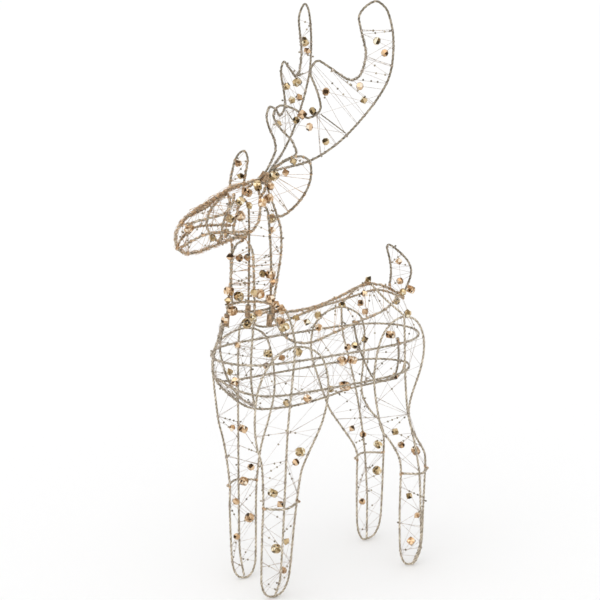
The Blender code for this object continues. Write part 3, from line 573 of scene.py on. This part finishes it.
# Where a wire of the body or the head ends beside a rail, the two are lashed together with lacing,
# turn about. The neck's prongs stay free, so that they pull out, and so do the ends at the soles.
LASH_REACH, LASH_TURNS = 0.012, 6
LASHED_WITH = {"torso": "left_back", "head_and_neck": "head"}


def body_rails(body):
    """The rails of one body that lacing and beads are tied to, by name."""
    return {node: rail for node, rail in rails.items()
            if frame["nodes"][node]["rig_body"] == body and not node.endswith("_tie")}


def nearest_place(choice, near):
    """The place nearest to this one on any of these rails, with the rail's direction there."""
    rail = min(choice, key=lambda r: np.linalg.norm(r - near, axis=1).min())
    i = min(np.linalg.norm(rail - near, axis=1).argmin(), len(rail) - 2)
    along = rail[i + 1] - rail[i]
    return rail[i], along / np.linalg.norm(along)


for body, region in LASHED_WITH.items():
    for node, wire in body_rails(body).items():
        others = [rail for name, rail in body_rails(body).items() if name != node]
        closed = wires[node][1]
        for end in () if closed else (wire[:2], wire[:-3:-1]):
            place, way = nearest_place(others, end[0])
            if np.linalg.norm(place - end[0]) > LASH_REACH or end[0][Z] < SOLE_Z:
                continue
            if body == "head_and_neck" and end[0][Z] < NECK_LOW_Z:
                continue
            along = (end[1] - end[0]) / np.linalg.norm(end[1] - end[0])
            path = []
            for k in range(LASH_TURNS):
                shift = TURN_STEP * k
                path += turned_round(place + way * shift, way, end[0], 1)
                path += turned_round(end[1] - along * shift, along, place, 1)
            laced[region]["paths"].append(path)

# The seed beads are moulded glass, grey brown and 3 mm across, threaded on the lacing one by one or
# in short rows, with some tied down on the rails. One low round bead is modelled and copied.
SEED_SIZE = 0.0029
SEED_HEIGHT = 0.86
SEED_START = (0.15, 0.7)
SEED_GAP = (0.006, 0.012)
SEED_ROWS = (1, 1, 2, 3)
SEEDED_RUNS = 0.3
SEEDED_KNOTS = 0.1
SHORTEST_SEEDED = 0.012
PLACE_DIGITS = 5
bpy.ops.mesh.primitive_uv_sphere_add(segments=8, ring_count=4, radius=SEED_SIZE / 2)
seed = bpy.context.object
bpy.ops.object.mode_set(mode="EDIT")
bpy.ops.mesh.select_all(action="SELECT")
bpy.ops.transform.resize(value=(1, 1, SEED_HEIGHT))
bpy.ops.object.mode_set(mode="OBJECT")


def bead_copies(name, body, models, placings, finish):
    """One piece of many beads, each a copy of one of the models, turned and set in its own place."""
    shapes = []
    for model in models:
        # Corners and faces go in the order of their places, which is the same in every run
        order = sorted(model.data.vertices, key=lambda v: [round(k, PLACE_DIGITS) for k in v.co])
        rank = {corner.index: i for i, corner in enumerate(order)}
        faces = sorted(model.data.polygons, key=lambda p: [round(k, PLACE_DIGITS) for k in p.center])
        shapes.append((np.array([v.co for v in order]),
                       [tuple(rank[i] for i in face.vertices) for face in faces]))
    places, polygons, tones, batches = [], [], [], []
    for turn, place in placings:
        corners, faces = chance.choice(shapes)
        first = len(places)
        places += (corners @ np.array(turn).T + place).tolist()
        polygons += [tuple(first + i for i in face) for face in faces]
        # Each facet gets a painted reflection, picked at random from dark to cream.
        tones += chance.sample([k / len(faces) for k in range(len(faces))], len(faces))
        batches += [chance.random()] * len(faces)
    mesh = bpy.data.meshes.new(name)
    mesh.from_pydata(places, [], polygons)
    mesh.attributes.new("facet_reflection", "FLOAT", "FACE").data.foreach_set("value", tones)
    mesh.attributes.new("batch", "FLOAT", "FACE").data.foreach_set("value", batches)
    mesh.materials.append(finish)
    mesh.update()
    obj = bpy.data.objects.new(name, mesh)
    bpy.context.scene.collection.objects.link(obj)
    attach(obj, body)
    return obj


def threaded(way):
    """A turn that points a bead's hole along this way, at a random roll."""
    turn = Vector(way).to_track_quat("Z", "Y").to_matrix()
    return turn @ Matrix.Rotation(chance.uniform(0, 2 * math.pi), 3, "Z")


def smoky_glass():
    """Moulded glass in mixed batches, from grey brown to pale champagne."""
    material = bpy.data.materials.new("smoky_seed_bead")
    material.use_nodes = True
    nodes, links = material.node_tree.nodes, material.node_tree.links
    shader = nodes["Principled BSDF"]
    batch = nodes.new("ShaderNodeAttribute")
    batch.attribute_name = "batch"
    tint = toned(material, ((0, (0.17, 0.145, 0.105)), (1, (0.5, 0.43, 0.32))))
    links.new(batch.outputs["Fac"], tint.inputs["Fac"])
    links.new(tint.outputs["Color"], shader.inputs["Base Color"])
    shader.inputs["Roughness"].default_value = 0.2
    shader.inputs["Metallic"].default_value = 0.2
    return material


seed_finish = smoky_glass()
for region, lacing in laced.items():
    placings = []
    for start, end in lacing["spans"]:
        reach = np.linalg.norm(end - start)
        if reach < SHORTEST_SEEDED or chance.random() > SEEDED_RUNS:
            continue
        way = (end - start) / reach
        at = chance.uniform(*SEED_START) * reach
        for _ in range(chance.choice(SEED_ROWS)):
            if at > reach - SEED_SIZE:
                break
            placings.append((threaded(way), start + way * at))
            at += chance.uniform(*SEED_GAP)
    for place, along in lacing["knots"]:
        if chance.random() < SEEDED_KNOTS:
            turn = threaded(along)
            placings.append((turn, place + np.array(turn)[:, X] * (WRAP_RADIUS + SEED_SIZE / 2)))
    seeds = bead_copies(f"{region}_seeds", lacing["body"], [seed], placings, seed_finish)
    seeds.data.shade_smooth()
bpy.data.objects.remove(seed)

# The big beads are pressed metal, gold and copper, 9 to 11 mm across and cut in flat facets. Most
# hang on a run of lacing that goes through them to the rails on either side. Some are tied down on
# the nearest rail, most of them on the neck and about its foot, and on the crown, ears and rump.
BEAD_SIZE = 0.009
CUBE_CORNER, CUBE_CROWN = BEAD_SIZE * 0.3, BEAD_SIZE * 0.06
BALL_RADIUS, BALL_HEIGHT = BEAD_SIZE * 0.59, 0.88
CONE_RADIUS, CONE_WAIST = BEAD_SIZE * 0.6, BEAD_SIZE * 0.25
CONE_ENDS = (0.6, 0.6, 0.92)
BEAD_FACE_EDGE = 0.004
SHORTEST_RUN = 0.006
RUN_BEND = 0.3
OUT_OF_REACH = 1.0
RUN_TURNS, TIE_TURNS = 2, 3
TIED_BEADS = {
    "neck": [(-0.109, -0.012, 0.383), (-0.078, -0.037, 0.381), (-0.047, -0.022, 0.386),
             (-0.104, -0.004, 0.448), (-0.106, -0.005, 0.407), (-0.107, -0.005, 0.3955),
             (-0.062, -0.032, 0.428), (-0.0595, -0.033, 0.4165), (-0.063, -0.032, 0.396),
             (-0.087, -0.034, 0.4095)],
    "left_back": [(-0.052, -0.042, 0.358), (-0.03, -0.006, 0.372), (0.101, -0.006, 0.396),
                  (0.15, -0.014, 0.375)],
    "right_back": [(-0.05, 0.039, 0.355)],
    "left_flank": [(-0.112, -0.01, 0.3725), (0.146, -0.005, 0.258)],
    "tail": [(0.171, -0.003, 0.374)],
    "hind_left_leg": [(0.122, -0.067, 0.362)],
    "head": [(-0.068, -0.012, 0.535), (-0.072, -0.03, 0.517)],
    "left_ear": [(-0.067, -0.049, 0.552), (-0.05, -0.066, 0.57), (-0.063, -0.036, 0.538)],
    "right_ear": [(-0.061, 0.0465, 0.554), (-0.066, 0.042, 0.541)],
    "left_antler": [(-0.031, -0.016, 0.548), (-0.018, -0.034, 0.621), (-0.004, -0.038, 0.624)],
}


def edit_whole(obj):
    """Edit mode on this object alone, with all of it selected."""
    bpy.ops.object.select_all(action="DESELECT")
    obj.select_set(True)
    bpy.context.view_layer.objects.active = obj
    bpy.ops.object.mode_set(mode="EDIT")
    bpy.ops.mesh.select_all(action="SELECT")


bpy.ops.mesh.primitive_cube_add(size=BEAD_SIZE)
cut_cube = bpy.context.object
edit_whole(cut_cube)
bpy.ops.mesh.bevel(offset=CUBE_CORNER, affect="VERTICES")
bpy.ops.mesh.select_face_by_sides(number=3, type="GREATER")
bpy.ops.mesh.poke(offset=CUBE_CROWN)
bpy.ops.object.mode_set(mode="OBJECT")
bpy.ops.mesh.primitive_uv_sphere_add(segments=6, ring_count=4, radius=BALL_RADIUS)
cut_ball = bpy.context.object
edit_whole(cut_ball)
bpy.ops.transform.resize(value=(1, 1, BALL_HEIGHT))
bpy.ops.object.mode_set(mode="OBJECT")
bpy.ops.mesh.primitive_uv_sphere_add(segments=5, ring_count=4, radius=CONE_RADIUS)
double_cone = bpy.context.object
edit_whole(double_cone)
bpy.ops.mesh.select_all(action="DESELECT")
bpy.ops.object.mode_set(mode="OBJECT")
for corner in double_cone.data.vertices:
    corner.select = abs(corner.co.z) > CONE_WAIST
bpy.ops.object.mode_set(mode="EDIT")
bpy.ops.transform.resize(value=CONE_ENDS)
bpy.ops.object.mode_set(mode="OBJECT")
bead_models = [cut_cube, cut_ball, double_cone]


def big_beads(node):
    """The middle and the way of each big bead, from the large faces of its string's solid."""
    mesh = bmesh.new()
    mesh.from_mesh(frame["nodes"][node].data)
    bmesh.ops.remove_doubles(mesh, verts=mesh.verts, dist=SAME_PLACE)
    large = {f for f in mesh.faces if min(e.calc_length() for e in f.edges) > BEAD_FACE_EDGE}
    found = []
    for first in mesh.faces:
        if first not in large:
            continue
        large.discard(first)
        waiting, corners = [first], set()
        while waiting:
            face = waiting.pop()
            corners.update(face.verts)
            for beside in {f for v in face.verts for f in v.link_faces} & large:
                large.discard(beside)
                waiting.append(beside)
        places = np.array([v.co for v in sorted(corners, key=lambda v: v.index)])
        centre = places.mean(0)
        tip = places[np.linalg.norm(places - centre, axis=1).argmin()] - centre
        found.append((centre, tip / np.linalg.norm(tip)))
    mesh.free()
    return found


def rail_that_way(body, place, way):
    """The rail place that lies most nearly this way, with the rail's direction there."""
    best = None
    for rail in body_rails(body).values():
        off = rail - place
        reach = off @ way
        aside = np.linalg.norm(off - np.outer(reach, way), axis=1)
        cost = np.where(reach > SHORTEST_RUN, aside + RUN_BEND * reach, OUT_OF_REACH)
        i = min(cost.argmin(), len(rail) - 2)
        if best is None or cost[i] < best[0]:
            along = rail[i + 1] - rail[i]
            best = (cost[i], rail[i], along / np.linalg.norm(along))
    return best[1:]


def tied_down(body, near):
    """A bead's place on the rail nearest to this one, with the rail's place and direction there."""
    root, along = nearest_place(body_rails(body).values(), near)
    out = near - root
    out -= along * out.dot(along)
    return root + out / np.linalg.norm(out) * (WIRE_RADIUS + BEAD_SIZE / 2), root, along


def cut_metal():
    """Plated metal of gold and of copper, each facet with a painted reflection from dark to cream."""
    material = bpy.data.materials.new("cut_gold_metal")
    material.use_nodes = True
    nodes, links = material.node_tree.nodes, material.node_tree.links
    shader = nodes["Principled BSDF"]
    facet, batch = nodes.new("ShaderNodeAttribute"), nodes.new("ShaderNodeAttribute")
    facet.attribute_name, batch.attribute_name = "facet_reflection", "batch"
    # Each ramp gives a facet its painted reflection: the dark stops are painted dark reflections, the
    # cream stop a painted highlight, in copper or gold hues.
    copper = toned(material, ((0, (0.06, 0.033, 0.014)), (0.86, (0.97, 0.85, 0.68)),
                              (0.13, (0.32, 0.185, 0.09)), (0.3, (0.55, 0.35, 0.19)),
                              (0.55, (0.76, 0.54, 0.34))))
    gold = toned(material, ((0, (0.05, 0.034, 0.014)), (0.86, (0.97, 0.90, 0.70)),
                            (0.13, (0.25, 0.17, 0.075)), (0.3, (0.46, 0.335, 0.165)),
                            (0.55, (0.69, 0.525, 0.305))))
    plated = nodes.new("ShaderNodeMix")
    plated.data_type = "RGBA"
    choice = nodes.new("ShaderNodeMath")
    choice.operation = "GREATER_THAN"
    choice.inputs[1].default_value = 0.58
    for ramp in (copper, gold):
        ramp.color_ramp.interpolation = "CONSTANT"
        links.new(facet.outputs["Fac"], ramp.inputs["Fac"])
    links.new(batch.outputs["Fac"], choice.inputs[0])
    links.new(choice.outputs["Value"], plated.inputs["Factor"])
    links.new(copper.outputs["Color"], plated.inputs["A"])
    links.new(gold.outputs["Color"], plated.inputs["B"])
    links.new(plated.outputs["Result"], shader.inputs["Base Color"])
    shader.inputs["Metallic"].default_value = 0.85
    shader.inputs["Roughness"].default_value = 0.25
    return material


bead_finish = cut_metal()
for region, lacing in laced.items():
    body, node = lacing["body"], f"{region}_lights"
    placings = []
    for place, way in big_beads(node) if node in frame["nodes"] else []:
        before, after = (rail_that_way(body, place, sense * way) for sense in (-1, 1))
        lacing["paths"].append([*turned_round(*before, place, RUN_TURNS)[::-1], place,
                                *turned_round(*after, place, RUN_TURNS)])
        placings.append((threaded(way), place))
    for near in TIED_BEADS.get(region, []):
        place, root, along = tied_down(body, np.array(near))
        lacing["paths"].append([place, *turned_round(root, along, place, TIE_TURNS), place])
        placings.append((threaded(along), place))
    beads = bead_copies(f"{region}_beads", body, bead_models, placings, bead_finish)
    curve = bpy.data.curves.new(f"{region}_lacing", "CURVE")
    curve.dimensions = "3D"
    curve.bevel_depth = LACE_RADIUS
    curve.bevel_resolution = 0
    curve.use_fill_caps = True
    for path in lacing["paths"]:
        spline = curve.splines.new("POLY")
        spline.points.add(len(path) - 1)
        spline.points.foreach_set("co", np.c_[path, np.ones(len(path))].ravel())
    curve.materials.append(copper_lace if region in COPPER_LACED else pale_lace)
    run = as_piece(f"{region}_lacing", body, curve)
    if node in frame["nodes"]:
        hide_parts(node)
        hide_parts(node)
for model in bead_models:
    bpy.data.objects.remove(model)

# The studio: a wide white floor that runs out past the picture, an even white surround, and one
# broad lamp high on the left, so that the wires stay clear and their shadow is faint.
FLOOR_SIDE = 160
LAMP_TILT, LAMP_BEARING, LAMP_SPREAD = (math.radians(turn) for turn in (30, -60, 60))
LAMP_STRENGTH = 0.8
ROOM_LIGHT = 0.84
bpy.ops.mesh.primitive_plane_add(size=FLOOR_SIDE)
floor = bpy.context.object
floor.name = "floor"
floor_finish = bpy.data.materials.new("white_floor")
floor_finish.use_nodes = True
floor_shader = floor_finish.node_tree.nodes["Principled BSDF"]
floor_shader.inputs["Base Color"].default_value = (0.95, 0.95, 0.95, 1)
floor_shader.inputs["Roughness"].default_value = 0.9
floor_shader.inputs["Specular IOR Level"].default_value = 0.0
floor.data.materials.append(floor_finish)
bpy.ops.object.light_add(type="SUN", rotation=(LAMP_TILT, 0, LAMP_BEARING))
lamp = bpy.context.object
lamp.data.energy = LAMP_STRENGTH
lamp.data.angle = LAMP_SPREAD
surround = bpy.data.worlds.new("white_surround")
bpy.context.scene.world = surround
surround.use_nodes = True
background = surround.node_tree.nodes["Background"]
background.inputs["Color"].default_value = (1, 1, 1, 1)
rays = surround.node_tree.nodes.new("ShaderNodeLightPath")
seen = surround.node_tree.nodes.new("ShaderNodeMath")
seen.operation = "MAXIMUM"
shown = surround.node_tree.nodes.new("ShaderNodeMath")
shown.operation = "MAXIMUM"
strength = surround.node_tree.nodes.new("ShaderNodeMath")
strength.operation = "MULTIPLY_ADD"
strength.inputs[1].default_value = 1 - ROOM_LIGHT
strength.inputs[2].default_value = ROOM_LIGHT
surround.node_tree.links.new(rays.outputs["Is Camera Ray"], seen.inputs[0])
surround.node_tree.links.new(rays.outputs["Is Glossy Ray"], seen.inputs[1])
surround.node_tree.links.new(seen.outputs["Value"], shown.inputs[0])
surround.node_tree.links.new(rays.outputs["Is Transmission Ray"], shown.inputs[1])
surround.node_tree.links.new(shown.outputs["Value"], strength.inputs[0])
surround.node_tree.links.new(strength.outputs["Value"], background.inputs["Strength"])
bpy.context.scene.view_settings.view_transform = "Standard"

# The camera stands ahead of the deer's left shoulder and a little above its back, two metres
# off, where the photograph was taken. Its lens is long, so the far legs stay nearly as large.
VIEW_AZIMUTH = math.radians(-31.6)
VIEW_ELEVATION = math.radians(13.7)
VIEW_DISTANCE = 2.0
VIEW_TARGET = Vector((0, 0, 0.38))
LENS, SENSOR = 94.3, 36
view_axis = Vector((math.sin(VIEW_AZIMUTH) * math.cos(VIEW_ELEVATION),
                    -math.cos(VIEW_AZIMUTH) * math.cos(VIEW_ELEVATION), math.sin(VIEW_ELEVATION)))
bpy.ops.object.camera_add(location=VIEW_TARGET + view_axis * VIEW_DISTANCE)
camera = bpy.context.object
camera.rotation_euler = view_axis.to_track_quat("Z", "Y").to_euler()
camera.data.lens = LENS
camera.data.sensor_width = SENSOR
bpy.context.scene.camera = camera
